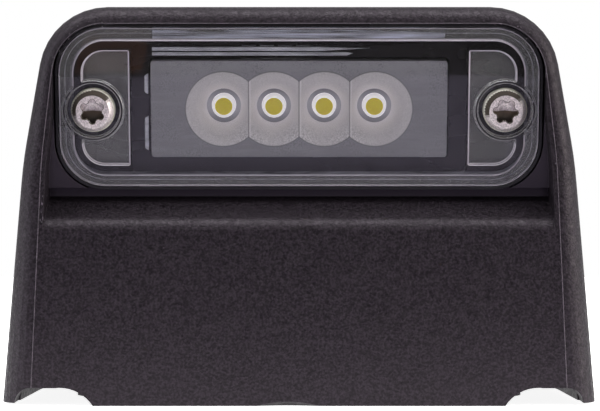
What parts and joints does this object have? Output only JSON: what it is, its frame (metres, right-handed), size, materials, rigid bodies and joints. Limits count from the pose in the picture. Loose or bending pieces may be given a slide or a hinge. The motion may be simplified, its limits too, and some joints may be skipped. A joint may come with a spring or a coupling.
{
  "type": "number plate lamp",
  "caption": "Black hood-shaped number plate lamp with a recessed clear cover, a frosted reflector with round bowls and light sources, and pan-head cover screws.",
  "frame": {"origin": "on the base plane, midway between the two fixing holes and under the middle of the base's depth", "axes": "+X to the right seen from the lamp's face, +Y from the face to the back, +Z from the mounting base up"},
  "size_m": [0.0906, 0.044, 0.0605],
  "materials": {
    "housing_plastic": "black plastic with a fine moulded grain",
    "brass": "turned and knurled",
    "seal_rubber": "matt soft rubber",
    "tray_plastic": "smooth black plastic",
    "clear_plastic": "clear polished plastic",
    "stainless": "stainless steel, finely pitted",
    "frosted_grey": "frosted grey with a fine grain in the bowls",
    "board": "solder mask",
    "led_white": "white moulding",
    "phosphor_yellow": "yellow silicone",
    "chip_black": "moulded epoxy",
    "capacitor_tan": "sintered ceramic",
    "tinned_metal": "tinned",
    "membrane_white": "thin white membrane"
  },
  "bodies": {
    "root": {"housing": "housing_plastic", "fixing_inserts": "brass", "screw_inserts": "brass", "insert_seal": "seal_rubber", "lamp_tray": "tray_plastic", "clear_cover": "clear_plastic", "cover_screws": "stainless", "reflector": "frosted_grey", "circuit_board": "board", "led_1": "led_white", "led_2": "led_white", "led_3": "led_white", "led_4": "led_white", "phosphor_1": "phosphor_yellow", "phosphor_2": "phosphor_yellow", "phosphor_3": "phosphor_yellow", "phosphor_4": "phosphor_yellow", "driver_chip": "chip_black", "input_diode": "chip_black", "surge_suppressor": "chip_black", "resistor_1": "chip_black", "resistor_2": "chip_black", "capacitor_1": "capacitor_tan", "capacitor_2": "capacitor_tan", "wire_posts": "tinned_metal", "cable_grommet": "seal_rubber", "vent_membrane": "membrane_white"}
  },
  "joints": []
}
